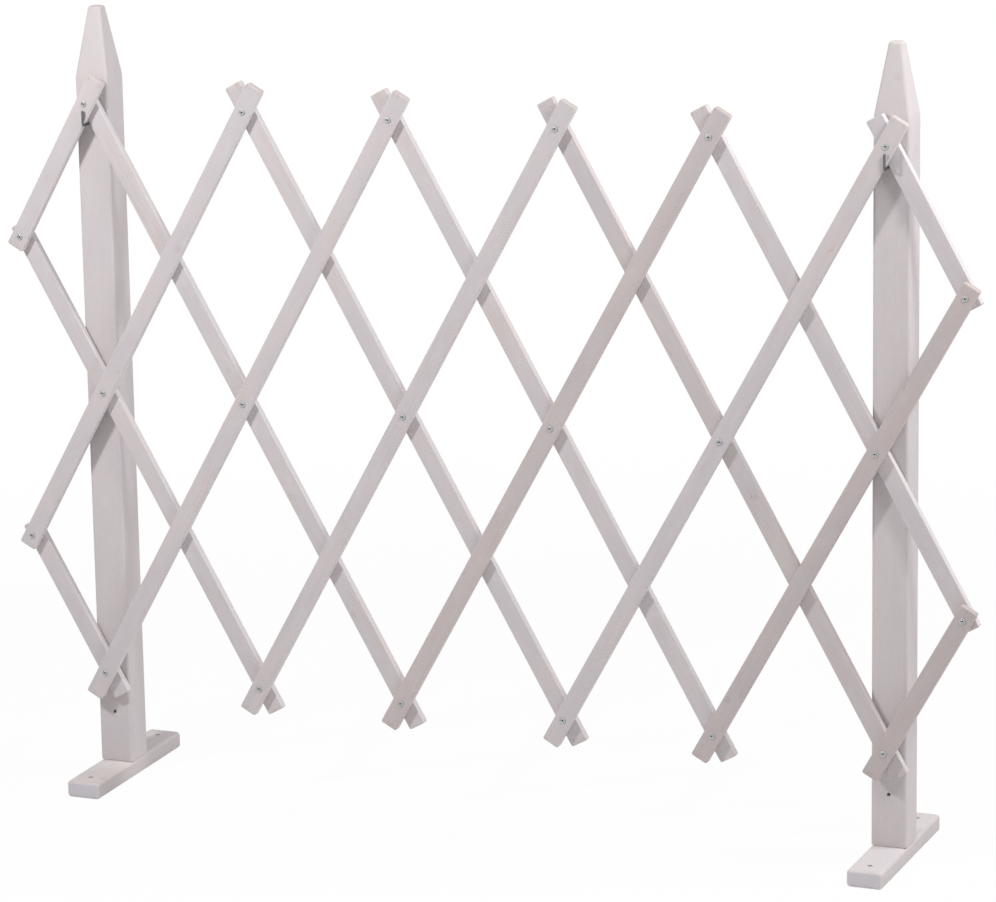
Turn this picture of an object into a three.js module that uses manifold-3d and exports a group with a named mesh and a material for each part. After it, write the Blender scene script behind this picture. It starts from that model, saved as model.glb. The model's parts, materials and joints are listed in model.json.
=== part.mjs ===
// Folding trellis: a riveted scissor lattice of laths, hooked onto two posts on foot boards.
// Millimetres, +Z up, +X along the lattice. The origin lies on the floor, midway between the posts.
import * as THREE from 'three';
import { mergeVertices } from 'three/addons/utils/BufferGeometryUtils.js';
import Module from 'manifold-3d';

const wasm = await Module();
wasm.setup();

// Laths
const lathReach = 450; // middle rivet to top or bottom rivet
const endReach = 237.5; // middle rivet to side rivet, on the laths that close the two ends
const lathWidth = 24;
const lathThickness = 11;
const lathCornerRadius = 2.5;
const lathEdgeChamfer = 0.9;
const crownOverhang = 38; // lath past its top or bottom rivet
const cutCrownOverhang = 12; // the rear lath on the left hook, cut short beside its post
const sideOverhang = 17; // lath past its side rivet

// Lattice
const restAngleDegrees = 60.8; // slope of every lath as the trellis stands in use
const columnPairs = 3; // the rivet columns come in pairs, one column on each of two scissor chains
const bottomClearance = 133; // bottom rivets above the foot boards
const faceGap = 0.3; // between faces that lie against each other

// Rivets
const rivetRadius = 2.5;
const rivetBoreRadius = 1.3;
const rivetHeadRadius = 4.2;
const rivetHeadThickness = 1.3;
const pivotClearance = 0.4; // between a rivet and the lath that turns on it

// Posts
const postWidth = 48;
const taperLength = 93;
const postTopWidth = 18;
const postEdgeRadius = 3;
const postTipRound = 2.5;
const postTipStepShare = 0.35;
const postHoleHeight = 71; // above the foot board
const postHoleRadius = 2.5;
const postHoleDepth = 25;

// Foot boards
const footLength = 254;
const footWidth = 48;
const footThickness = 23;
const footEdgeRadius = 4;
const footEndChamfer = 1;
const footHoleInset = 25; // from each end of the board
const footHoleRadius = 3.5;

// Hooks
const hookRadius = 1.6;
const hookBelowShoulder = 60;
const hookRise = 20; // upright above the shank
const hookBendRadius = 3;
const hookReachBehind = 22; // shank inside the post
const hookPointLength = 4;
const hookClearance = 0.6; // between the upright and the rivet heads
const hookPointShare = 0.45;
const hookTipShare = 0.6;

// Screws that hold each foot board under its post
const screwRadius = 2;
const screwHeadRadius = 4;
const screwHeadDepth = 3;
const screwLength = 55;
const screwSpacing = 22;
const screwPointLength = 5;
const screwPointShare = 0.3;
const screwSink = 0.5; // head below the underside of the board

// Facets
const roundFacets = 12;
const bendFacets = 5;
const cornerFacets = 3;
const cutOverrun = 1;

// Colours
const lathColor = 0xc6bcbd;
const postColor = 0xc9c2c4;
const footColor = 0xcfc9ca;
const steelColor = 0x8d8f8e;

// Geometry of the scissor: both chains share the angle, so every size below follows from it.
const angle = THREE.MathUtils.degToRad(restAngleDegrees);
const linkReach = lathReach - endReach; // pivot distance of the four short end laths
const columnPitch = lathReach * Math.cos(angle);
const rowRise = lathReach * Math.sin(angle);
const endRun = endReach * Math.cos(angle);
const endRise = endReach * Math.sin(angle);
const linkRun = linkReach * Math.cos(angle);
const chainShift = endRun - linkRun; // how far the end laths push one chain past the other
const lastColumn = 2 * columnPairs - 1;

// Depths, with the front face of the front laths at zero
const rearLathFront = lathThickness + faceGap;
const rearLathBack = rearLathFront + lathThickness;
const headReach = faceGap + rivetHeadThickness;
const postFront = rearLathBack + headReach + faceGap;
const uprightDepth = headReach + hookClearance + hookRadius;

// Heights
const bottomRow = footThickness + bottomClearance;
const middleRow = bottomRow + rowRise;
const topRow = middleRow + rowRise;
const crotchDrop = (lathWidth / 2 + hookRadius + faceGap) / Math.cos(angle);
const hookHeight = topRow - crotchDrop;
const shoulderHeight = hookHeight + hookBelowShoulder;
const postLength = shoulderHeight + taperLength - footThickness;

const topColumn = (column) => column * columnPitch + (column % 2 === 1 ? chainShift : 0);
const middleColumn = (column) => column * columnPitch + (column % 2 === 0 ? chainShift : 0);
const leftPostAt = topColumn(0);
const rightPostAt = topColumn(lastColumn);

const wood = (color) => new THREE.MeshStandardMaterial({ color, roughness: 0.8, metalness: 0 });
const steel = new THREE.MeshStandardMaterial({ color: steelColor, roughness: 0.4, metalness: 0.9 });
const lathWood = wood(lathColor);
const postWood = wood(postColor);
const footWood = wood(footColor);

// Booleans
function toSolid(geometry) {
  const plain = geometry.clone();
  plain.deleteAttribute('normal');
  plain.deleteAttribute('uv');
  const merged = mergeVertices(plain);
  const mesh = new wasm.Mesh({
    numProp: 3,
    vertProperties: new Float32Array(merged.attributes.position.array),
    triVerts: new Uint32Array(merged.index.array),
  });
  return new wasm.Manifold(mesh);
}

function cutHoles(geometry, tools) {
  let body = toSolid(geometry);
  for (const tool of tools) {
    body = body.subtract(toSolid(tool));
  }
  const mesh = body.getMesh();
  const result = new THREE.BufferGeometry();
  result.setAttribute('position', new THREE.BufferAttribute(mesh.vertProperties, 3));
  result.setIndex(new THREE.BufferAttribute(mesh.triVerts, 1));
  result.computeVertexNormals();
  return result;
}

// A closed solid through rings of equal count, each ring turning the right-hand way round its path
function loft(rings) {
  const count = rings[0].length;
  const triangles = [];
  for (let ring = 0; ring < rings.length - 1; ring += 1) {
    for (let side = 0; side < count; side += 1) {
      const next = (side + 1) % count;
      const a = ring * count + side;
      const b = ring * count + next;
      triangles.push(a, b, b + count);
      triangles.push(a, b + count, a + count);
    }
  }
  const last = (rings.length - 1) * count;
  for (let side = 1; side < count - 1; side += 1) {
    triangles.push(0, side + 1, side);
    triangles.push(last, last + side, last + side + 1);
  }
  const geometry = new THREE.BufferGeometry();
  const points = rings.flat();
  geometry.setAttribute('position', new THREE.Float32BufferAttribute(points.flatMap((p) => p.toArray()), 3));
  geometry.setIndex(triangles);
  geometry.computeVertexNormals();
  return geometry;
}

// A rectangle with round corners, as points in order round its centre
function roundedRectangle(sizeU, sizeV, radius) {
  const points = [];
  for (let corner = 0; corner < 4; corner += 1) {
    const signU = corner === 0 || corner === 3 ? 1 : -1;
    const signV = corner < 2 ? 1 : -1;
    for (let step = 0; step <= cornerFacets; step += 1) {
      const turn = (corner + step / cornerFacets) * Math.PI / 2;
      const u = signU * (sizeU / 2 - radius) + radius * Math.cos(turn);
      const v = signV * (sizeV / 2 - radius) + radius * Math.sin(turn);
      points.push([u, v]);
    }
  }
  return points;
}

// A round solid along Z from a list of [radius, height] pairs
function turned(profile) {
  const ring = ([radius, height]) => Array.from({ length: roundFacets }, (unused, side) => {
    const turn = 2 * Math.PI * side / roundFacets;
    return new THREE.Vector3(radius * Math.cos(turn), radius * Math.sin(turn), height);
  });
  return loft(profile.map(ring));
}

const roundBar = (radius, low, high) => turned([[radius, low], [radius, high]]);

// A lath along X on its front face, with a rivet hole at each of its pivots
function lathGeometry(pivots, startOverhang, endOverhang) {
  const start = pivots[0] - startOverhang + lathEdgeChamfer;
  const end = pivots[pivots.length - 1] + endOverhang - lathEdgeChamfer;
  const radius = lathCornerRadius - lathEdgeChamfer;
  const outline = roundedRectangle(end - start, lathWidth - 2 * lathEdgeChamfer, radius);
  const middle = (start + end) / 2;
  const shape = new THREE.Shape(outline.map(([u, v]) => new THREE.Vector2(u + middle, v)));
  const board = new THREE.ExtrudeGeometry(shape, {
    depth: lathThickness - 2 * lathEdgeChamfer,
    bevelThickness: lathEdgeChamfer,
    bevelSize: lathEdgeChamfer,
    bevelSegments: 1,
  });
  board.translate(0, 0, lathEdgeChamfer);
  const hole = roundBar(rivetRadius + pivotClearance, -cutOverrun, lathThickness + cutOverrun);
  const drilled = cutHoles(board, pivots.map((pivot) => hole.clone().translate(pivot, 0, 0)));
  return drilled.rotateX(Math.PI / 2).translate(0, lathThickness, 0);
}

// A tubular rivet along Y: a bored shank with a curled rim at each end
function rivetGeometry() {
  const rimRadius = (rivetBoreRadius + rivetHeadRadius) / 2;
  const rimFront = -headReach;
  const rimBack = rearLathBack + headReach;
  const lip = rivetHeadThickness / 2;
  const profile = [
    [rivetBoreRadius, rimFront + lip],
    [rimRadius, rimFront],
    [rivetHeadRadius, rimFront + lip],
    [rivetHeadRadius, -faceGap],
    [rivetRadius, -faceGap],
    [rivetRadius, rearLathBack + faceGap],
    [rivetHeadRadius, rearLathBack + faceGap],
    [rivetHeadRadius, rimBack - lip],
    [rimRadius, rimBack],
    [rivetBoreRadius, rimBack - lip],
    [rivetBoreRadius, rimFront + lip],
  ];
  return new THREE.LatheGeometry(profile.map(([r, y]) => new THREE.Vector2(r, y)), roundFacets);
}

// A square post with a long tapered top, drilled for its hook, its foot screws and a fixing low down
function postGeometry() {
  const ring = (width, height) => {
    const radius = postEdgeRadius * width / postWidth;
    return roundedRectangle(width, width, radius).map(([u, v]) => new THREE.Vector3(u, v, height));
  };
  const body = loft([
    ring(postWidth, faceGap),
    ring(postWidth, postLength - taperLength),
    ring(postTopWidth, postLength - postTipRound),
    ring(postTopWidth - 2 * postTipRound * postTipStepShare, postLength - postTipRound * postTipStepShare),
    ring(postTopWidth - 2 * postTipRound, postLength),
  ]);
  const fromFront = (radius, depth, height) => {
    const drill = roundBar(radius, -cutOverrun, depth).rotateX(-Math.PI / 2);
    return drill.translate(0, -postWidth / 2, height);
  };
  const screwHole = roundBar(screwRadius + faceGap, -cutOverrun, screwLength - footThickness + faceGap);
  return cutHoles(body, [
    fromFront(hookRadius + faceGap, hookReachBehind + faceGap, hookHeight - footThickness),
    fromFront(postHoleRadius, postHoleDepth, postHoleHeight),
    screwHole.clone().translate(0, -screwSpacing / 2, 0),
    screwHole.clone().translate(0, screwSpacing / 2, 0),
  ]);
}

// A foot board along Y, drilled near both ends and for the two post screws
function footGeometry() {
  const ring = (inset, depth) => {
    const outline = roundedRectangle(footThickness - 2 * inset, footWidth - 2 * inset, footEdgeRadius);
    return outline.map(([u, v]) => new THREE.Vector3(v, depth, u + footThickness / 2));
  };
  const halfLength = footLength / 2;
  const board = loft([
    ring(footEndChamfer, -halfLength),
    ring(0, -halfLength + footEndChamfer),
    ring(0, halfLength - footEndChamfer),
    ring(footEndChamfer, halfLength),
  ]);
  const endHole = roundBar(footHoleRadius, -cutOverrun, footThickness + cutOverrun);
  const headTop = screwSink + screwHeadDepth + faceGap;
  const screwHole = turned([
    [screwHeadRadius + faceGap, -cutOverrun],
    [screwHeadRadius + faceGap, screwSink],
    [screwRadius + faceGap, headTop],
    [screwRadius + faceGap, footThickness + cutOverrun],
  ]);
  return cutHoles(board, [
    endHole.clone().translate(0, footHoleInset - halfLength, 0),
    endHole.clone().translate(0, halfLength - footHoleInset, 0),
    screwHole.clone().translate(0, -screwSpacing / 2, 0),
    screwHole.clone().translate(0, screwSpacing / 2, 0),
  ]);
}

// A countersunk screw standing on its head
function screwGeometry() {
  return turned([
    [screwHeadRadius, screwSink],
    [screwRadius, screwSink + screwHeadDepth],
    [screwRadius, screwLength - screwPointLength],
    [screwRadius * screwPointShare, screwLength],
  ]);
}

// A square-bend hook: shank out of the post under the crossed laths, upright in front of them
function hookGeometry() {
  const bend = hookBendRadius;
  const inner = postFront + hookReachBehind;
  const path = [
    { depth: inner, height: 0, turn: 0, size: hookRadius * hookPointShare },
    { depth: inner - hookPointLength, height: 0, turn: 0, size: hookRadius },
  ];
  for (let step = 0; step <= bendFacets; step += 1) {
    const turn = step / bendFacets * Math.PI / 2;
    const depth = -uprightDepth + bend * (1 - Math.sin(turn));
    path.push({ depth, height: bend * (1 - Math.cos(turn)), turn, size: hookRadius });
  }
  const top = Math.PI / 2;
  path.push({ depth: -uprightDepth, height: hookRise - hookRadius, turn: top, size: hookRadius });
  path.push({ depth: -uprightDepth, height: hookRise, turn: top, size: hookRadius * hookTipShare });
  const rings = path.map(({ depth, height, turn, size }) => {
    const across = new THREE.Vector3(1, 0, 0);
    const along = new THREE.Vector3(0, -Math.cos(turn), Math.sin(turn));
    const up = along.clone().cross(across);
    return Array.from({ length: roundFacets }, (unused, side) => {
      const round = 2 * Math.PI * side / roundFacets;
      const point = new THREE.Vector3(0, depth, height);
      point.addScaledVector(across, size * Math.cos(round));
      return point.addScaledVector(up, size * Math.sin(round));
    });
  });
  return loft(rings);
}

const group = new THREE.Group();
group.position.set(-(leftPostAt + rightPostAt) / 2, -(postFront + postWidth / 2), 0);

function add(name, geometry, material, x, y, z, turnY = 0) {
  const mesh = new THREE.Mesh(geometry, material);
  mesh.name = name;
  mesh.position.set(x, y, z);
  mesh.rotation.y = turnY;
  group.add(mesh);
}

// Laths: the front layer leans right, the rear layer leans left
function addLayer(layer, depth, rise) {
  const turn = -rise * angle;
  const short = [0, linkReach];
  const outer = sideOverhang;
  const crown = crownOverhang;
  const leftNode = middleColumn(0) - endRun;
  const name = (index) => `${layer}_lath_${index}`;
  add(name(1), lathGeometry(short, outer, crown), lathWood, leftNode, depth, middleRow + rise * endRise, turn);
  for (let column = 0; column <= lastColumn; column += 1) {
    const leftmost = column === 0;
    const rightmost = column === lastColumn;
    const pivots = [leftmost ? -endReach : -lathReach, 0, rightmost ? endReach : lathReach];
    const onLeftHook = rise < 0 && column === 1;
    const start = onLeftHook ? cutCrownOverhang : crown;
    const geometry = lathGeometry(pivots, leftmost ? outer : start, rightmost ? outer : crown);
    add(name(column + 2), geometry, lathWood, middleColumn(column), depth, middleRow, turn);
  }
  const lastRow = middleRow - rise * rowRise;
  const lastLath = lathGeometry(short, crown, outer);
  add(name(lastColumn + 3), lastLath, lathWood, topColumn(lastColumn), depth, lastRow, turn);
}

addLayer('front', 0, 1);
addLayer('rear', rearLathFront, -1);

// Rivets
for (let column = 0; column <= lastColumn; column += 1) {
  add(`rivet_top_${column + 1}`, rivetGeometry(), steel, topColumn(column), 0, topRow);
  add(`rivet_middle_${column + 1}`, rivetGeometry(), steel, middleColumn(column), 0, middleRow);
  add(`rivet_bottom_${column + 1}`, rivetGeometry(), steel, topColumn(column), 0, bottomRow);
}
const sideNodes = { left: middleColumn(0) - endRun, right: middleColumn(lastColumn) + endRun };
for (const [side, x] of Object.entries(sideNodes)) {
  add(`rivet_${side}_upper`, rivetGeometry(), steel, x, 0, middleRow + endRise);
  add(`rivet_${side}_lower`, rivetGeometry(), steel, x, 0, middleRow - endRise);
}

// Posts with their foot boards, hooks and screws
const postMiddle = postFront + postWidth / 2;
for (const [side, x] of [['left', leftPostAt], ['right', rightPostAt]]) {
  add(`${side}_post`, postGeometry(), postWood, x, postMiddle, footThickness);
  add(`${side}_foot`, footGeometry(), footWood, x, postMiddle, 0);
  add(`${side}_hook`, hookGeometry(), steel, x, 0, hookHeight);
  add(`${side}_foot_screw_front`, screwGeometry(), steel, x, postMiddle - screwSpacing / 2, 0);
  add(`${side}_foot_screw_rear`, screwGeometry(), steel, x, postMiddle + screwSpacing / 2, 0);
}

export default group;
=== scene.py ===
import json
import math

import bmesh
import bpy
from mathutils import Matrix, Vector


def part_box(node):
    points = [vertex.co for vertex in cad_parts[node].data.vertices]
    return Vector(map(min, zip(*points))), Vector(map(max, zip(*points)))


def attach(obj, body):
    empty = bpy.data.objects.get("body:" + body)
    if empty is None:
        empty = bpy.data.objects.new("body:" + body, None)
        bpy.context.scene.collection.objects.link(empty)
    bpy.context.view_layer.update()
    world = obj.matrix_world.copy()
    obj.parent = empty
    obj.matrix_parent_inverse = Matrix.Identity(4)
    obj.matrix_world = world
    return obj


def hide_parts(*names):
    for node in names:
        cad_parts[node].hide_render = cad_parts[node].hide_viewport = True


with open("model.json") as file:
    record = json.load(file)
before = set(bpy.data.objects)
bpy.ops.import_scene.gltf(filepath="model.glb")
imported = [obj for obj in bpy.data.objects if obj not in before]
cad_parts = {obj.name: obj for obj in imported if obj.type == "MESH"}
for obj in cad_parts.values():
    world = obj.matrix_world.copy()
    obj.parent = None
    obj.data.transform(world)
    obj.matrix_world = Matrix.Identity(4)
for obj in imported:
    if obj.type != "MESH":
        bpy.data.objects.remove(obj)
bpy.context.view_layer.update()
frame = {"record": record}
scene = bpy.context.scene
scene.view_settings.view_transform = "Standard"
smoothBelow = {"grown": 38, "lofted": 32}  # degrees; edges that bend less are shaded smooth
weldDistance = 1e-7
holeRounds = 28


# Node trees
class Wire:
    # One output of a node, so that sums and products of outputs read as plain Python
    def __init__(self, graph, socket):
        self.graph = graph
        self.socket = socket

    def maths(self, operation, other=None, swapped=False):
        values = [self] if other is None else [self, other]
        if swapped:
            values.reverse()
        return self.graph.node("ShaderNodeMath", {"operation": operation}, dict(enumerate(values)))

    def __add__(self, other):
        return self.maths("ADD", other)

    def __sub__(self, other):
        return self.maths("SUBTRACT", other)

    def __rsub__(self, other):
        return self.maths("SUBTRACT", other, True)

    def __mul__(self, other):
        return self.maths("MULTIPLY", other)

    def __truediv__(self, other):
        return self.maths("DIVIDE", other)

    def __rtruediv__(self, other):
        return self.maths("DIVIDE", other, True)

    def __pow__(self, other):
        return self.maths("POWER", other)

    def __neg__(self):
        return self.maths("MULTIPLY", -1.0)

    __radd__ = __add__
    __rmul__ = __mul__

    def ease(self, low, high, first=0.0, last=1.0):
        # Smooth step from first to last while the value goes from low to high
        values = {0: self, 1: low, 2: high, 3: first, 4: last}
        return self.graph.node("ShaderNodeMapRange", {"interpolation_type": "SMOOTHSTEP"}, values)

    def least(self, other):
        return self.maths("MINIMUM", other)

    def most(self, other):
        return self.maths("MAXIMUM", other)


class Graph:
    # Adds nodes to one tree: settings come first, then the values or links of the sockets
    def __init__(self, tree):
        self.tree = tree

    def node(self, kind, settings=None, sockets=None, out=0):
        made = self.tree.nodes.new(kind)
        made.location = (len(self.tree.nodes) % 12 * 190, -(len(self.tree.nodes) // 12) * 260)
        for key, value in (settings or {}).items():
            setattr(made, key, value)
        for key, value in (sockets or {}).items():
            self.join(value, made.inputs[key])
        return Wire(self, made.outputs[out]) if len(made.outputs) else None

    def join(self, value, socket):
        if isinstance(value, Wire):
            self.tree.links.new(value.socket, socket)
        elif isinstance(value, list):
            for part in value:
                self.tree.links.new(part.socket, socket)
        else:
            socket.default_value = value

    def vector(self, x=0.0, y=0.0, z=0.0):
        return self.node("ShaderNodeCombineXYZ", {}, {0: x, 1: y, 2: z})

    def split(self, vector):
        first = self.node("ShaderNodeSeparateXYZ", {}, {0: vector})
        return [Wire(self, output) for output in first.socket.node.outputs]

    def vectorMath(self, operation, a, b):
        return self.node("ShaderNodeVectorMath", {"operation": operation}, {0: a, 1: b})

    def blend(self, share, a, b, mode="MIX"):
        # Mixes two colours
        settings = {"data_type": "RGBA", "blend_type": mode}
        return self.node("ShaderNodeMix", settings, {0: share, 6: a, 7: b}, 2)


def rgb(red, green, blue):
    # A colour from the 0 to 255 values a picture shows
    def linear(value):
        share = value / 255
        return share / 12.92 if share <= 0.04045 else ((share + 0.055) / 1.055) ** 2.4
    return (linear(red), linear(green), linear(blue), 1.0)


def newMaterial(name):
    material = bpy.data.materials.new(name)
    material.use_nodes = True
    material.node_tree.nodes.clear()
    return material, Graph(material.node_tree)


def newTree(name, inputs):
    tree = bpy.data.node_groups.new(name, "GeometryNodeTree")
    tree.is_modifier = True
    tree.interface.new_socket("Geometry", in_out="INPUT", socket_type="NodeSocketGeometry")
    for label, kind in inputs.items():
        tree.interface.new_socket(label, in_out="INPUT", socket_type="NodeSocket" + kind)
    tree.interface.new_socket("Geometry", in_out="OUTPUT", socket_type="NodeSocketGeometry")
    graph = Graph(tree)
    start = tree.nodes.new("NodeGroupInput")
    wires = {output.name: Wire(graph, output) for output in start.outputs if output.name}
    return tree, graph, wires


def endTree(graph, geometry, material):
    whole = graph.node("GeometryNodeRealizeInstances", {}, {0: geometry})
    turn = graph.node("GeometryNodeInputMeshEdgeAngle")
    limit = math.radians(smoothBelow["grown"])
    soft = graph.node("FunctionNodeCompare", {"operation": "LESS_THAN"}, {0: turn, 1: limit})
    whole = graph.node("GeometryNodeSetShadeSmooth", {"domain": "EDGE"}, {0: whole, 2: soft})
    whole = graph.node("GeometryNodeSetShadeSmooth", {"domain": "FACE"}, {0: whole, 2: True})
    whole = graph.node("GeometryNodeSetMaterial", {}, {0: whole, 2: material})
    finish = graph.tree.nodes.new("NodeGroupOutput")
    graph.join(whole, finish.inputs[0])


def keepAttribute(graph, geometry, name, kind, value):
    settings = {"data_type": kind, "domain": "POINT"}
    return graph.node("GeometryNodeStoreNamedAttribute", settings, {0: geometry, 2: name, 3: value})


def grow(name, points, tree, values):
    # Runs a tree over a few points and keeps the result as one plain mesh
    mesh = bpy.data.meshes.new(name)
    mesh.from_pydata(points, [], [])
    piece = bpy.data.objects.new(name, mesh)
    scene.collection.objects.link(piece)
    modifier = piece.modifiers.new("tree", "NODES")
    modifier.node_group = tree
    for item in tree.interface.items_tree:
        if item.in_out == "INPUT" and item.name in values:
            modifier[item.identifier] = values[item.name]
    depsgraph = bpy.context.evaluated_depsgraph_get()
    depsgraph.update()
    made = bpy.data.meshes.new_from_object(piece.evaluated_get(depsgraph), depsgraph=depsgraph)
    piece.modifiers.clear()
    piece.data = made
    made.name = name
    faceOutwards(made)
    return piece


def faceOutwards(mesh):
    work = bmesh.new()
    work.from_mesh(mesh)
    bmesh.ops.remove_doubles(work, verts=work.verts, dist=weldDistance)
    bmesh.ops.recalc_face_normals(work, faces=work.faces)
    work.to_mesh(mesh)
    work.free()


def centre(node):
    low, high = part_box(node)
    return (low + high) / 2


# Camera
view = {
    "place": (2.24414, -5.42299, 1.94726),
    "turn": (0.24204, 0.38669, 0.03048),  # rotation vector from a level look along +Y
    "focal": 4605.7,  # in pixels of the 996 wide picture
    "width": 996,
    "sensor": 36.0,
}


def makeCamera():
    data = bpy.data.cameras.new("camera")
    data.sensor_width = view["sensor"]
    data.lens = view["focal"] * view["sensor"] / view["width"]
    data.clip_end = 200
    camera = bpy.data.objects.new("camera", data)
    turn = Vector(view["turn"])
    level = Matrix(((1, 0, 0), (0, 0, -1), (0, 1, 0)))
    look = Matrix.Rotation(turn.length, 3, turn) @ level  # rows: right, down, forward
    axes = Matrix((look[0], -look[1], -look[2])).transposed()
    camera.matrix_world = Matrix.Translation(view["place"]) @ axes.to_4x4()
    scene.collection.objects.link(camera)
    scene.camera = camera


# Light
light = {
    "key": {"place": (-0.94, -1.39, 1.8), "target": (0.0, 0.0, 0.5), "size": 0.24, "power": 20.5},
    "side": {"place": (2.8, 0.6, 3.2), "target": (0.0, 0.0, 0.6), "size": 1.2, "power": 64.0},
    "fill": {"place": (1.35, -0.6, 1.75), "target": (0.5, 0.0, 0.8), "size": 0.4, "power": 8.5},
    "sky": 0.295,
    "skyColor": (1.0, 0.955, 0.935),
}


def addLamp(name, place, target, size, power):
    data = bpy.data.lights.new(name, "AREA")
    data.shape = "DISK"
    data.size = size
    data.energy = power
    lamp = bpy.data.objects.new(name, data)
    aim = (Vector(target) - Vector(place)).to_track_quat("-Z", "Y")
    lamp.matrix_world = Matrix.Translation(place) @ aim.to_matrix().to_4x4()
    scene.collection.objects.link(lamp)


def seenDirectly(graph):
    # One for the rays that the camera sees the surroundings by, zero for those that light the object
    rays = graph.node("ShaderNodeLightPath", {}, {}, "Is Camera Ray")
    outputs = rays.socket.node.outputs
    return rays.most(Wire(graph, outputs["Is Glossy Ray"])).most(Wire(graph, outputs["Is Transmission Ray"]))


def makeLight():
    for name in ("key", "side", "fill"):
        addLamp(f"{name}Lamp", **light[name])
    world = bpy.data.worlds.new("studio")
    world.use_nodes = True
    world.node_tree.nodes.clear()
    graph = Graph(world.node_tree)
    sky = graph.node("ShaderNodeBackground", {}, {0: (*light["skyColor"], 1), 1: light["sky"]})
    white = graph.node("ShaderNodeBackground", {}, {0: (1, 1, 1, 1), 1: 1.0})
    both = graph.node("ShaderNodeMixShader", {}, {0: seenDirectly(graph), 1: sky, 2: white})
    graph.node("ShaderNodeOutputWorld", {}, {0: both})
    scene.world = world


# Floor
floor = {
    "half": 40.0,
    "drop": 0.0005,
    "color": (0.9, 0.9, 0.9, 1),
    "whiteShare": 0.96,  # of the plain white that the camera sees near the object
    "near": 0.9,
    "far": 2.4,  # all white from here on
}


def makeFloor():
    half = floor["half"]
    corners = [(-half, -half), (half, -half), (half, half), (-half, half)]
    mesh = bpy.data.meshes.new("floor")
    mesh.from_pydata([(x, y, -floor["drop"]) for x, y in corners], [], [(0, 1, 2, 3)])
    ground = bpy.data.objects.new("floor", mesh)
    scene.collection.objects.link(ground)
    material, graph = newMaterial("paleFloor")
    spot = graph.node("ShaderNodeTexCoord", {}, {}, "Object")
    away = graph.node("ShaderNodeVectorMath", {"operation": "LENGTH"}, {0: spot}, "Value")
    share = seenDirectly(graph) * away.ease(floor["near"], floor["far"], floor["whiteShare"], 1.0)
    plain = graph.node("ShaderNodeBsdfDiffuse", {}, {"Color": floor["color"]})
    white = graph.node("ShaderNodeEmission", {}, {"Color": (1, 1, 1, 1), "Strength": 1.0})
    mixed = graph.node("ShaderNodeMixShader", {}, {0: share, 1: plain, 2: white})
    graph.node("ShaderNodeOutputMaterial", {}, {0: mixed})
    mesh.materials.append(material)


# Whitewashed pine, drawn in the board's own directions: along, across and through it
woodGrain = {
    "seedShift": (7.3, 3.1, 5.7),
    # Spots of each pattern in a metre along, across and through the board
    "drift": (2.2, 14.0, 14.0),
    "knotEdge": (160.0, 260.0, 260.0),
    "fibre": (22.0, 1100.0, 1100.0),
    "streak": (7.0, 210.0, 210.0),
    "cloud": (9.0, 30.0, 30.0),
    "tint": (26.0, 60.0, 60.0),
    "nap": (520.0, 900.0, 900.0),
    "patch": (14.0, 34.0, 34.0),
    "wander": (60.0, 120.0, 120.0),
    "rubbed": (30.0, 75.0, 75.0),
    "smudge": (40.0, 95.0, 95.0),
    # Lengths
    "driftAcross": 0.02,
    "driftThrough": 0.012,
    "knotRagged": 0.004,
    "faceSkin": (0.0002, 0.0006),
    "sideSkin": (0.0002, 0.0008),
    "endSkin": (0.0003, 0.0009),
    "smearReach": 0.004,
    "endWearStart": 0.001,
}


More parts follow.
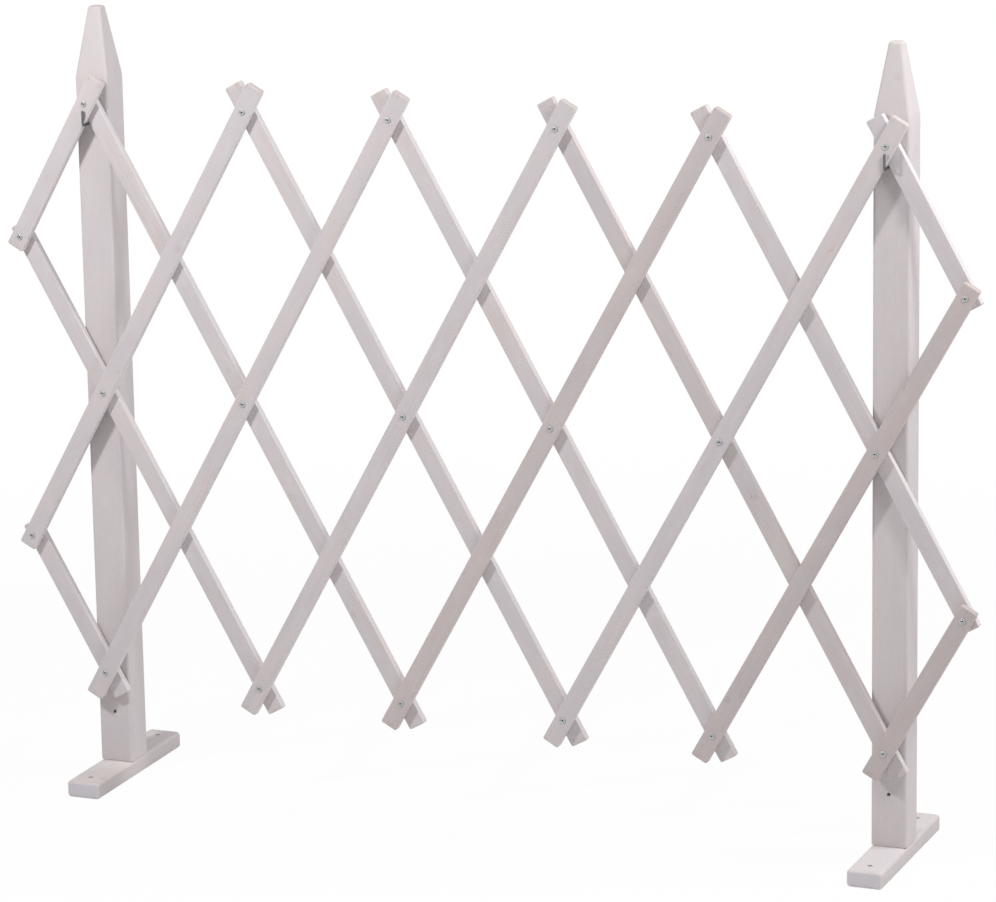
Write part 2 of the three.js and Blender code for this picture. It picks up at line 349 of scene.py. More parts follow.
def woodMaterial(name, look):
    material, graph = newMaterial(name)
    grain = graph.node("ShaderNodeAttribute", {"attribute_name": "grain"}, {}, "Vector")
    half = graph.node("ShaderNodeAttribute", {"attribute_name": "halfSize"}, {}, "Vector")
    seed = graph.node("ShaderNodeAttribute", {"attribute_name": "seed"}, {}, "Fac")
    tone = graph.node("ShaderNodeAttribute", {"attribute_name": "tone"}, {}, "Fac")
    along, across, through = graph.split(grain)
    halfAlong, halfAcross, halfThrough = graph.split(half)
    shift = graph.vector(*[seed * step for step in woodGrain["seedShift"]])
    place = graph.vectorMath("ADD", grain, shift)

    def noise(pattern, detail=2.0, rough=0.5):
        spot = graph.vectorMath("MULTIPLY", place, woodGrain[pattern])
        sockets = {"Vector": spot, "Scale": 1.0, "Detail": detail, "Roughness": rough}
        return graph.node("ShaderNodeTexNoise", {}, sockets)

    # Growth rings round a pith that lies outside the board
    drift = noise("drift", 1.0) - 0.5
    pithAcross = (seed * 2.7).maths("SINE") * look["pithSpread"] + along * look["pithLean"]
    pithThrough = (seed * 4.1).maths("COSINE") * look["pithSpread"] * 0.4 - look["pithDepth"]
    offAcross = across - pithAcross + drift * woodGrain["driftAcross"]
    offThrough = through - pithThrough + drift * woodGrain["driftThrough"]
    ring = (offAcross * offAcross + offThrough * offThrough).maths("SQRT") / look["ringWidth"]
    late = ((ring * (2 * math.pi)).maths("SINE") * 0.5 + 0.5) ** 3.0

    # Knots: small balls of darker wood scattered through the tree
    cells = graph.vectorMath("MULTIPLY", place, look["knotCells"])
    nearest = graph.node("ShaderNodeTexVoronoi", {}, {"Vector": cells, "Scale": 1.0}, "Position")
    gap = graph.vectorMath("DIVIDE", graph.vectorMath("SUBTRACT", cells, nearest), look["knotCells"])
    reach = graph.node("ShaderNodeVectorMath", {"operation": "LENGTH"}, {0: gap}, "Value")
    ragged = reach + (noise("knotEdge", 2.0) - 0.5) * woodGrain["knotRagged"]
    knot = 1 - ragged.ease(look["knotRadius"] * 0.35, look["knotRadius"])
    knotRim = knot * (1 - knot) * 4

    # Distance to the nearest edge of the board: the middle one of the three wall distances
    wallAlong = (halfAlong - along.maths("ABSOLUTE")).most(0.0)
    wallAcross = (halfAcross - across.maths("ABSOLUTE")).most(0.0)
    wallThrough = (halfThrough - through.maths("ABSOLUTE")).most(0.0)
    farthest = wallAlong.most(wallAcross).most(wallThrough)
    closest = wallAlong.least(wallAcross).least(wallThrough)
    rim = wallAlong + wallAcross + wallThrough - farthest - closest
    onFace = wallThrough.ease(*woodGrain["faceSkin"], 1.0, 0.0)

    fibre = noise("fibre", 3.0, 0.6)
    streak = noise("streak", 2.0, 0.55)
    cloud = noise("cloud", 2.0)
    tint = noise("tint", 2.0, 0.6)
    nap = noise("nap", 2.0, 0.65)  # fine tooth of the sawn and washed surface
    patch = noise("patch", 1.0)

    # Planer chatter: slanting strokes across the broad faces, in a few places only
    wander = noise("wander", 2.0) - 0.5
    slanted = along + across * look["chatterSlant"] + wander * look["chatterWander"]
    stroke = (slanted * (2 * math.pi / look["chatterPitch"])).maths("SINE") * 0.5 + 0.5
    chatter = (stroke ** 2.0) * patch.ease(0.54, 0.66) * onFace

    # Places where the wash is rubbed off: along the edges, round the ends and in smudges. Painted light and
    # shade too: a pale edge rim that is partly painted highlight, and narrow sides lightened on the laths
    # and darkened on the foot boards
    # A pale rim along the edges, ragged like wear: partly rubbed wash, partly painted highlight, and painted
    # shade on the foot boards
    edgeWearAndLightShade = (rim + (streak - 0.5) * look["wearDepth"] * 0.3).ease(0.0, look["wearDepth"], 1.0, 0.0)
    paintedSideLightShade = wallAcross.ease(*woodGrain["sideSkin"], look["sideLight"], 0.0)
    rubbed = noise("rubbed", 3.0, 0.7)
    edgeSmear = rim.ease(0.0, woodGrain["smearReach"], 1.0, 0.0) * rubbed.ease(0.55, 0.68)
    nearEnd = wallAlong.ease(woodGrain["endWearStart"], look["endReach"], 1.0, 0.0)
    endWear = nearEnd * rubbed.ease(0.46, 0.66)
    smudge = noise("smudge", 3.0, 0.72).ease(0.62, 0.75)
    endGrain = wallAlong.ease(*woodGrain["endSkin"], 1.0, 0.0)

    # The wood below, then the thin wash over it
    bare = graph.blend(late * 0.8, look["earlyWood"], look["lateWood"])
    bare = graph.blend(knot * 0.85, bare, look["knotWood"])
    bare = graph.blend(fibre.ease(0.35, 0.75) * 0.25, bare, look["lateWood"])
    washed = graph.blend(cloud.ease(0.34, 0.66), look["washCool"], look["washWarm"])
    washed = graph.blend(tint.ease(0.5, 0.75) * 0.5, washed, look["washPale"])
    cover = look["cover"] - late * look["ringShow"] - knot * look["knotShow"] - knotRim * 0.04
    cover = cover - (streak - 0.5) * look["streakShow"] - (fibre - 0.5) * look["fibreShow"]
    cover = cover - chatter * look["chatterShow"] - smudge * look["smudgeShow"]
    cover = cover - edgeSmear * look["smearShow"] - endWear * look["endWear"]
    color = graph.blend(cover.most(0.0).least(1.0), bare, washed)
    # Painted light and shade: the laths' narrow sides and the edge rims are lightened, and the foot boards'
    # sides and edge rims darkened, for how the light falls on them
    color = graph.blend(paintedSideLightShade.most(edgeWearAndLightShade * look["edgeLight"]), color, look["edgeTone"])
    color = graph.blend(endGrain * look["endShare"], color, look["endTone"])
    color = graph.blend((nap - 0.5).most(0.0) * look["napShow"], color, look["napTone"])
    color = graph.blend(tone, color, look["darker"], "MULTIPLY")

    rough = look["roughness"] + (streak - 0.5) * 0.12 + smudge * 0.06
    relief = fibre * 0.3 + late * 0.2 + streak * 0.3 + nap * look["napDepth"] - chatter * 0.5
    sockets = {"Strength": look["bump"], "Distance": look["bumpDepth"], "Height": relief}
    bump = graph.node("ShaderNodeBump", {}, sockets)
    shader = graph.node("ShaderNodeBsdfPrincipled", {}, {
        "Base Color": color, "Roughness": rough, "Normal": bump, "Specular IOR Level": 0.3,
    })
    graph.node("ShaderNodeOutputMaterial", {}, {0: shader})
    return material


lathLook = {
    "earlyWood": rgb(203, 187, 178),
    "lateWood": rgb(180, 152, 134),
    "knotWood": rgb(160, 130, 114),
    "washCool": rgb(207, 202, 207),
    "washWarm": rgb(212, 204, 206),
    "washPale": rgb(216, 212, 214),
    # Painted light: the pale tone that the narrow sides and edge rims are lightened towards
    "edgeTone": rgb(238, 233, 232),
    "endTone": rgb(216, 206, 198),
    "napTone": rgb(176, 166, 166),
    "darker": (0.80, 0.75, 0.72, 1),  # multiplies the colour of a board whose tone is one
    "cover": 0.97,
    "ringShow": 0.035,
    "knotShow": 0.1,
    "streakShow": 0.09,
    "fibreShow": 0.08,
    "chatterPitch": 0.0046,
    "chatterSlant": 0.45,
    "chatterWander": 0.012,
    "chatterShow": 0.26,
    "smudgeShow": 0.32,
    "smearShow": 0.12,
    "endReach": 0.011,
    "endWear": 0.45,
    "wearDepth": 0.0011,
    # Share of the edge rim's wear and painted highlight
    "edgeLight": 0.3,
    "sideLight": 0.5,
    "endShare": 0.4,
    "pithSpread": 0.03,
    "pithLean": 0.03,
    "pithDepth": 0.028,
    "ringWidth": 0.0034,
    "knotCells": (9.0, 22.0, 22.0),
    "knotRadius": 0.0065,
    "napShow": 0.4,
    "napDepth": 0.1,
    "roughness": 0.62,
    "bump": 0.25,
    "bumpDepth": 0.00015,
}
postLook = {
    **lathLook,
    "washCool": rgb(210, 204, 207),
    "washWarm": rgb(213, 206, 207),
    "pithSpread": 0.02,
    "pithLean": 0.008,
    "pithDepth": 0.035,
    "ringWidth": 0.0042,
    "ringShow": 0.02,
    "streakShow": 0.03,
    "fibreShow": 0.03,
    "knotCells": (6.0, 14.0, 14.0),
    "knotRadius": 0.009,
    "chatterShow": 0.05,
    "smudgeShow": 0.05,
    "endWear": 0.15,
    "napShow": 1.0,
    "napDepth": 0.7,
    "wearDepth": 0.0018,
    "sideLight": 0.0,
}
footLook = {
    **postLook,
    "washCool": rgb(222, 217, 220),
    "washWarm": rgb(225, 218, 217),
    "endTone": rgb(206, 204, 211),
    "endShare": 0.75,
    # Painted shade: the darker tone for the foot boards' sides and edge rims
    "edgeTone": rgb(202, 194, 196),
    "sideLight": 0.6,  # painted shade: here the sides are a little darker than the top
}


# Zinc-plated steel
steelLook = {
    "bright": rgb(212, 213, 213),
    "dull": rgb(162, 164, 166),
    "stain": rgb(96, 96, 92),
    # Painted shade for the rivets' groove and bore
    "soot": rgb(52, 52, 50),
    "sootShow": 0.7,
    "patchScale": 900.0,
    "crystalScale": 1600.0,
    "roughness": 0.38,
    "bump": 0.2,
    "bumpDepth": 0.0001,
}
# Painted reflection: the hook wire's colours are darkened to stand for the dark surroundings it reflects
wireDarkReflectionLook = {
    **steelLook,
    "bright": rgb(124, 129, 129),
    "dull": rgb(84, 88, 89),
    "stain": rgb(62, 62, 60),
    "roughness": 0.42,
}


def steelMaterial(name, look):
    material, graph = newMaterial(name)
    spot = graph.node("ShaderNodeTexCoord", {}, {}, "Object")
    patchSockets = {"Vector": spot, "Scale": look["patchScale"], "Detail": 3.0}
    patch = graph.node("ShaderNodeTexNoise", {}, patchSockets)
    crystalSockets = {"Vector": spot, "Scale": look["crystalScale"]}
    crystal = graph.node("ShaderNodeTexVoronoi", {}, crystalSockets, "Color")
    sparkle = graph.node("ShaderNodeSeparateColor", {}, {0: crystal})
    stained = patch.ease(0.56, 0.72)
    color = graph.blend(sparkle * 0.6 + patch * 0.4, look["dull"], look["bright"])
    color = graph.blend(stained * 0.5, color, look["stain"])
    # Painted shade in the rivets' groove and bore
    soot = graph.node("ShaderNodeAttribute", {"attribute_name": "soot"}, {}, "Fac")
    color = graph.blend(soot * look["sootShow"], color, look["soot"])
    rough = look["roughness"] + patch * 0.12 + stained * 0.2 + soot * 0.2
    bumpSockets = {"Strength": look["bump"], "Distance": look["bumpDepth"], "Height": patch}
    bump = graph.node("ShaderNodeBump", {}, bumpSockets)
    shader = graph.node("ShaderNodeBsdfPrincipled", {}, {
        "Base Color": color, "Roughness": rough, "Metallic": 1.0, "Normal": bump,
    })
    graph.node("ShaderNodeOutputMaterial", {}, {0: shader})
    return material


# Laths: a board along X, drilled where the rivets pass, then turned to its slope
lath = {
    "width": 0.024,
    "cornerRadius": 0.0027,
    "edgeRadius": 0.0011,
    "holeRadius": 0.0029,
    "waver": 0.00012,
    "waverScale": 9.0,
    "rings": 96,
    "edgeSteps": 4,
    "columns": 6,
    "seedStep": 1.37,
    "rearSeed": 0.61,
    "tone": {"front_lath_5": 0.45, "front_lath_7": 0.6, "front_lath_8": 0.7, "rear_lath_6": 0.3},
}
lathInputs = {
    "Start": "Float", "End": "Float", "Width": "Float", "Thickness": "Float",
    "Corner Radius": "Float", "Edge Radius": "Float", "Hole Radius": "Float", "Waver": "Float",
    "Rings": "Int", "Slope": "Float", "Place": "Vector", "Seed": "Float", "Tone": "Float",
    "Wood": "Material",
}


def lathTree():
    tree, graph, given = newTree("lathTree", lathInputs)
    start, end = given["Start"], given["End"]
    length = end - start
    axis = graph.node("GeometryNodeCurvePrimitiveLine", {}, {0: graph.vector(start), 1: graph.vector(end)})
    axis = graph.node("GeometryNodeResampleCurve", {}, {"Curve": axis, "Count": given["Rings"]})
    share = graph.node("GeometryNodeSplineParameter", {}, {}, "Factor")
    eased = 0.5 - (share * math.pi).maths("COSINE") * 0.5  # rings crowd towards both ends
    spots = graph.vector(start + length * eased)
    axis = graph.node("GeometryNodeSetPosition", {}, {0: axis, "Position": spots})
    axis = graph.node("GeometryNodeSetCurveNormal", {"mode": "Z_UP"}, {0: axis})
    section = graph.node(
        "GeometryNodeCurvePrimitiveQuadrilateral", {}, {0: given["Width"], 1: given["Thickness"]})
    section = graph.node(
        "GeometryNodeFilletCurve", {"mode": "POLY"},
        {0: section, "Radius": given["Edge Radius"], "Count": lath["edgeSteps"], "Limit Radius": True})
    board = graph.node("GeometryNodeCurveToMesh", {}, {0: axis, 1: section, "Fill Caps": True})

    along, across, through = graph.split(graph.node("GeometryNodeInputPosition"))
    endGap = (along - start).least(end - along).most(0.0)

    def drawnIn(radius, halfSize):
        # How much narrower the board is this close to its end, for a round corner
        short = (radius - endGap).most(0.0)
        inset = radius - (radius * radius - short * short).most(0.0).maths("SQRT")
        return 1 - inset / halfSize

    narrow = drawnIn(given["Corner Radius"], given["Width"] * 0.5)
    thin = drawnIn(given["Edge Radius"], given["Thickness"] * 0.5)
    spot = graph.vector(along, across * 0.2, given["Seed"] * 9.0)
    sockets = {"Vector": spot, "Scale": lath["waverScale"], "Detail": 2.0}
    wave = graph.node("ShaderNodeTexNoise", {}, sockets)
    wander = (wave - 0.5) * given["Waver"]
    shaped = graph.vector(along, across * narrow + wander, through * thin)
    board = graph.node("GeometryNodeSetPosition", {}, {0: board, "Position": shaped})

    sockets = {"Vertices": holeRounds, "Radius": given["Hole Radius"], "Depth": given["Thickness"] * 2.0}
    bit = graph.node("GeometryNodeMeshCylinder", {}, sockets)
    bits = graph.node("GeometryNodeInstanceOnPoints", {}, {0: given["Geometry"], "Instance": bit})
    bits = graph.node("GeometryNodeRealizeInstances", {}, {0: bits})
    board = graph.node("GeometryNodeMeshBoolean", {"operation": "DIFFERENCE"}, {0: board, 1: [bits]})

    fromMiddle = graph.vector(along - (start + end) * 0.5, across, through)
    board = keepAttribute(graph, board, "grain", "FLOAT_VECTOR", fromMiddle)
    sizes = graph.vector(length * 0.5, given["Width"] * 0.5, given["Thickness"] * 0.5)
    board = keepAttribute(graph, board, "halfSize", "FLOAT_VECTOR", sizes)
    board = keepAttribute(graph, board, "seed", "FLOAT", given["Seed"])
    board = keepAttribute(graph, board, "tone", "FLOAT", given["Tone"])
    turn = graph.vector(math.pi / 2, -given["Slope"], 0.0)
    sockets = {0: board, "Translation": given["Place"], "Rotation": turn}
    board = graph.node("GeometryNodeTransform", {}, sockets)
    endTree(graph, board, given["Wood"])
    return tree


def lathPivots(layer, number):
    # The rivets a lath hangs on, lowest first
    last = lath["columns"]
    leansRight = layer == "front"
    lowColumn, highColumn = (number - 2, number) if leansRight else (number, number - 2)
    low = f"rivet_bottom_{lowColumn}"
    high = f"rivet_top_{highColumn}"
    # Beyond the first and the last column a lath ends at a side node instead
    if lowColumn < 1:
        low = "rivet_left_lower" if number > 1 else "rivet_left_upper"
    if lowColumn > last:
        low = "rivet_right_lower" if number < last + 2 else "rivet_right_upper"
    if highColumn < 1:
        high = "rivet_left_upper" if number > 1 else "rivet_left_lower"
    if highColumn > last:
        high = "rivet_right_upper" if number < last + 2 else "rivet_right_lower"
    isLink = number in (1, last + 2)
    return (low, high) if isLink else (low, f"rivet_middle_{number - 1}", high)


def pastRivet(height, run):
    # How far a sloping lath runs past its end rivet, from the height it reaches above or below it
    sine, cosine = run.z / run.length, abs(run.x) / run.length
    radius = lath["cornerRadius"]
    return (height - radius - (lath["width"] / 2 - radius) * cosine) / sine + radius


def makeLaths(wood):
    tree = lathTree()
    for layer in ("front", "rear"):
        for number in range(1, lath["columns"] + 3):
            name = f"{layer}_lath_{number}"
            names = lathPivots(layer, number)
            spots = [centre(rivet) for rivet in names]
            low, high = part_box(name)
            middle = Vector((spots[0].x, (low.y + high.y) / 2, spots[0].z))
            run = spots[-1] - spots[0]
            alongLath = [((spot - spots[0]).length, 0, 0) for spot in spots]
            rearShift = lath["rearSeed"] if layer == "rear" else 0.0
            piece = grow(f"{layer}Lath{number}", alongLath, tree, {
                "Start": -pastRivet(spots[0].z - low.z, run),
                "End": run.length + pastRivet(high.z - spots[-1].z, run),
                "Width": lath["width"],
                "Thickness": high.y - low.y,
                "Corner Radius": lath["cornerRadius"],
                "Edge Radius": lath["edgeRadius"],
                "Hole Radius": lath["holeRadius"],
                "Waver": lath["waver"],
                "Rings": lath["rings"],
                "Slope": math.atan2(run.z, run.x),
                "Place": middle,
                "Seed": number * lath["seedStep"] + rearShift,
                "Tone": lath["tone"].get(name, 0.0),
                "Wood": wood,
            })
            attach(piece, name)
            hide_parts(name)
    print("laths done")


# Rivets: a tube with a flange and a rolled lip at each end, turned from one section
rivet = {
    "headRadius": 0.0042,
    "boreRadius": 0.0009,
    "shankRadius": 0.0025,
    "lipRadius": 0.0017,
    "lipSize": 0.00048,
    "grooveDepth": 0.00032,
    "flangeDrop": 0.00028,
    "edgeSize": 0.00034,
    "headGap": 0.0003,  # between the rear head and the lath
    "weld": 1e-6,
    "rounds": 36,
    "edgeSteps": 4,
    "lipSteps": 6,
    # Shares of the lip's size, and of the edge's in the last one
    "grooveShare": 1.9,
    "flatShare": 0.8,
    "mouthShare": 2.2,
    "underShare": 0.4,
}
rivetInputs = {
    "Head Radius": "Float", "Bore Radius": "Float", "Shank Radius": "Float", "Lip Radius": "Float",
    "Lip Size": "Float", "Groove Depth": "Float", "Flange Drop": "Float", "Edge Size": "Float",
    "Half Length": "Float", "Under Head": "Float", "Rounds": "Int", "Seed": "Int", "Steel": "Material",
}


def rivetTree():
    tree, graph, given = newTree("rivetTree", rivetInputs)
    head, bore, shank = given["Head Radius"], given["Bore Radius"], given["Shank Radius"]
    lip, lipSize, edge = given["Lip Radius"], given["Lip Size"], given["Edge Size"]
    half = given["Half Length"]
    flange = half - given["Flange Drop"]
    groove = lip + lipSize * rivet["grooveShare"]
    middle = head * 0.5  # radius of the ring the section is carried round

    def arc(radius, height, size, first, last, steps):
        # Points of a part of a circle in the section, as radius and height
        turns = [math.radians(first + (last - first) * step / steps) for step in range(steps + 1)]
        return [(radius + size * math.cos(turn), height + size * math.sin(turn)) for turn in turns]

    under = given["Under Head"]
    outline = [(shank, under), (head - edge * rivet["underShare"], under)]
    outline += arc(head - edge, flange - edge, edge, -20, 90, rivet["edgeSteps"])
    outline += [(groove + lipSize * rivet["flatShare"], flange), (groove, flange - given["Groove Depth"])]
    outline += arc(lip, half - lipSize, lipSize, 10, 170, rivet["lipSteps"])
    outline += [(bore, half - lipSize * rivet["mouthShare"])]

    def line(a, b):
        ends = {index: graph.vector(spot[0] - middle, spot[1]) for index, spot in enumerate((a, b))}
        return graph.node("GeometryNodeCurvePrimitiveLine", {}, ends)

    upper = [line(a, b) for a, b in zip(outline, outline[1:])]
    upper = graph.node("GeometryNodeJoinGeometry", {}, {0: upper})
    lower = graph.node("GeometryNodeTransform", {}, {0: upper, "Scale": (1, -1, 1)})
    wall = line(outline[-1], (bore, -outline[-1][1]))
    body = line(outline[0], (shank, -outline[0][1]))
    section = graph.node("GeometryNodeJoinGeometry", {}, {0: [upper, lower, wall, body]})
    sockets = {"Resolution": given["Rounds"], "Radius": middle}
    ring = graph.node("GeometryNodeCurvePrimitiveCircle", {}, sockets)
    ring = graph.node("GeometryNodeSetCurveNormal", {"mode": "Z_UP"}, {0: ring})
    turned = graph.node("GeometryNodeCurveToMesh", {}, {0: ring, 1: section})
    turned = graph.node("GeometryNodeMergeByDistance", {}, {0: turned, "Distance": rivet["weld"]})
    x, y = graph.split(graph.node("GeometryNodeInputPosition"))[:2]
    radius = (x * x + y * y).maths("SQRT")
    # Painted shade: the groove and the bore are marked for darkening, as shade in these recesses
    inGroove = (radius - groove).maths("ABSOLUTE").ease(lipSize * 0.15, lipSize * 0.9, 1.0, 0.0)
    inBore = radius.ease(bore, bore * 1.25, 1.0, 0.0)
    turned = keepAttribute(graph, turned, "soot", "FLOAT", inGroove.most(inBore))
    spin = graph.node("FunctionNodeRandomValue", {"data_type": "FLOAT"}, {
        2: 0.0, 3: 2 * math.pi, "ID": graph.node("GeometryNodeInputIndex"), "Seed": given["Seed"]}, 1)
    aim = graph.vector(math.pi / 2, spin, 0.0)
    placed = graph.node("GeometryNodeInstanceOnPoints", {}, {
        0: given["Geometry"], "Instance": turned, "Rotation": aim})
    endTree(graph, placed, given["Steel"])
    return tree


def makeRivets(steel):
    tree = rivetTree()
    rearLow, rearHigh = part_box("rear_lath_3")
    lathBack = (rearHigh.y - rearLow.y) / 2 + rivet["headGap"]
    for number, (body, nodes) in enumerate(frame["record"]["behaviour"]["bodies"].items()):
        names = [node for node in nodes if node.startswith("rivet_")]
        if not names:
            continue
        low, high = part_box(names[0])
        label = "".join(part.capitalize() for part in body.split("_"))
        piece = grow(f"rivets{label}", [centre(node) for node in names], tree, {
            "Head Radius": rivet["headRadius"],
            "Bore Radius": rivet["boreRadius"],
            "Shank Radius": rivet["shankRadius"],
            "Lip Radius": rivet["lipRadius"],
            "Lip Size": rivet["lipSize"],
            "Groove Depth": rivet["grooveDepth"],
            "Flange Drop": rivet["flangeDrop"],
            "Edge Size": rivet["edgeSize"],
            "Half Length": (high.y - low.y) / 2,
            "Under Head": centre("rear_lath_3").y - centre(names[0]).y + lathBack,
            "Rounds": rivet["rounds"],
            "Seed": number,
            "Steel": steel,
        })
        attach(piece, body)
        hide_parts(*names)
    print("rivets done")


# Posts and foot boards: lofted from rounded sections, then drilled
post = {
    "width": 0.048,
    "topWidth": 0.018,
    "edgeRadius": 0.0045,
    "shoulderRound": 0.006,
    "taper": 0.093,
    "tipRound": 0.004,
    "tipCorner": 0.38,  # of the width there, at most
    "holeRadius": 0.0025,
    "holeHeight": 0.071,
    "holeDepth": 0.025,
    "hookHoleRadius": 0.0019,
    "hookHoleDepth": 0.0223,
    "screwHoleRadius": 0.0023,
    "screwHoleDepth": 0.0323,
    "baseInset": 0.0006,
    "drillPast": 0.004,
    "cornerSteps": 6,
    "straightSteps": 24,
    "bendSteps": 8,
    "taperSteps": 6,
    "tipSteps": 6,
    "seed": {"left": 3.3, "right": 8.2},
}
foot = {
    "length": 0.254,
    "width": 0.048,
    "edgeRadius": 0.0052,
    "endRound": 0.0044,
    "holeInset": 0.025,
    "holeRadius": 0.0035,
    "screwHeadRadius": 0.0043,
    "screwHoleRadius": 0.0023,
    "screwSink": 0.0005,
    "screwHeadDepth": 0.0038,
    "overlap": 0.0008,
    "drillPast": 0.004,
    "cornerSteps": 5,
    "endSteps": 4,
    "lengthSteps": 8,
    "seed": {"left": 5.2, "right": 7.9},
}


def roundedSection(sizeU, sizeV, radius, steps):
    points = []
    for corner in range(4):
        signU = 1 if corner in (0, 3) else -1
        signV = 1 if corner < 2 else -1
        for step in range(steps + 1):
            turn = (corner + step / steps) * math.pi / 2
            points.append((signU * (sizeU / 2 - radius) + radius * math.cos(turn),
                           signV * (sizeV / 2 - radius) + radius * math.sin(turn)))
    return points


def loft(name, rings):
    count = len(rings[0])
    faces = [tuple(reversed(range(count)))]
    for ring in range(len(rings) - 1):
        for side in range(count):
            a, b = ring * count + side, ring * count + (side + 1) % count
            faces.append((a, b, b + count, a + count))
    faces.append(tuple(range((len(rings) - 1) * count, len(rings) * count)))
    mesh = bpy.data.meshes.new(name)
    mesh.from_pydata([point for ring in rings for point in ring], [], faces)
    piece = bpy.data.objects.new(name, mesh)
    scene.collection.objects.link(piece)
    return piece


def drill(start, end, radius, endRadius=None):
    axis = Vector(end) - Vector(start)
    turn = axis.to_track_quat("Z", "Y").to_matrix()
    angles = [2 * math.pi * side / holeRounds for side in range(holeRounds)]
    rings = []
    for spot, size in ((Vector(start), radius), (Vector(end), endRadius or radius)):
        rings.append([spot + turn @ Vector((size * math.cos(a), size * math.sin(a), 0)) for a in angles])
    return loft("drill", rings)


def cut(piece, tools):
    for tool in tools:
        modifier = piece.modifiers.new("cut", "BOOLEAN")
        modifier.operation = "DIFFERENCE"
        modifier.solver = "EXACT"
        modifier.object = tool
    depsgraph = bpy.context.evaluated_depsgraph_get()
    depsgraph.update()
    made = bpy.data.meshes.new_from_object(piece.evaluated_get(depsgraph), depsgraph=depsgraph)
    piece.modifiers.clear()
    piece.data = made
    for tool in tools:
        bpy.data.objects.remove(tool)
    faceOutwards(made)


def shadeByAngle(mesh):
    limit = math.radians(smoothBelow["lofted"])
    work = bmesh.new()
    work.from_mesh(mesh)
    for face in work.faces:
        face.smooth = True
    for edge in work.edges:
        edge.smooth = edge.calc_face_angle(0.0) < limit
    work.to_mesh(mesh)
    work.free()


def storeGrain(mesh, origin, axes, halfAt, seed):
    # Writes the board's own directions on its points, as the lath tree does
    spots = [vertex.co - origin for vertex in mesh.vertices]
    turned = [Vector([spot.dot(axis) for axis in axes]) for spot in spots]
    for name, kind in (("grain", "FLOAT_VECTOR"), ("halfSize", "FLOAT_VECTOR"), ("seed", "FLOAT")):
        mesh.attributes.new(name, kind, "POINT")
    for index, local in enumerate(turned):
        mesh.attributes["grain"].data[index].vector = local
        mesh.attributes["halfSize"].data[index].vector = halfAt(local)
        mesh.attributes["seed"].data[index].value = seed


def makePost(side, wood):
    name = f"{side}_post"
    low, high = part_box(name)
    middle = (low + high) / 2
    width, steps = post["width"], post["cornerSteps"]
    shoulder = high.z - post["taper"]
    tipFoot = high.z - post["tipRound"]
    slope = (width - post["topWidth"]) / post["taper"]
    soft = post["shoulderRound"]

    def sizeAt(height):
        # Full width up to the shoulder, then the taper, with a soft bend between them
        past = height - shoulder
        bend = max(0.0, min(past + soft, 2 * soft)) ** 2 / (4 * soft)
        return width - slope * (bend + max(0.0, past - soft))

    def ring(size, height):
        radius = min(post["edgeRadius"], size * post["tipCorner"])
        outline = roundedSection(size, size, radius, steps)
        return [Vector((middle.x + u, middle.y + v, height)) for u, v in outline]

    def between(start, end, count):
        return [start + (end - start) * step / count for step in range(1, count + 1)]

    inset = post["baseInset"]
    rings = [ring(width - 2 * inset, low.z), ring(width, low.z + inset)]
    heights = between(low.z, shoulder - soft, post["straightSteps"])
    heights += between(shoulder - soft, shoulder + soft, post["bendSteps"])
    heights += between(shoulder + soft, tipFoot, post["taperSteps"])
    rings += [ring(sizeAt(height), height) for height in heights]
    for turn in between(0, math.pi / 2, post["tipSteps"]):
        drawn = post["tipRound"] * (1 - math.cos(turn)) * 2
        rings.append(ring(sizeAt(tipFoot) - drawn, tipFoot + post["tipRound"] * math.sin(turn)))
    piece = loft(f"{side}Post", rings)

    front, past = middle.y - width / 2, post["drillPast"]
    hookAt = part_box(f"{side}_hook")[0].z + hook["radius"]

    def fromFront(height, radius, depth):
        return drill((middle.x, front - past, height), (middle.x, front + depth, height), radius)

    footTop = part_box(f"{side}_foot")[1].z
    tools = [
        fromFront(footTop + post["holeHeight"], post["holeRadius"], post["holeDepth"]),
        fromFront(hookAt, post["hookHoleRadius"], post["hookHoleDepth"]),
    ]
    for offset in (-screw["spacing"] / 2, screw["spacing"] / 2):
        base = (middle.x, middle.y + offset, low.z - past)
        end = (middle.x, middle.y + offset, low.z + post["screwHoleDepth"])
        tools.append(drill(base, end, post["screwHoleRadius"]))
    cut(piece, tools)
    shadeByAngle(piece.data)

    def halfAt(local):
        size = sizeAt(min(middle.z + local.x, tipFoot))
        return Vector(((high.z - low.z) / 2, size / 2, size / 2))

    axes = (Vector((0, 0, 1)), Vector((1, 0, 0)), Vector((0, 1, 0)))
    storeGrain(piece.data, middle, axes, halfAt, post["seed"][side])
    piece.data.materials.append(wood)
    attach(piece, name)
    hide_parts(name)


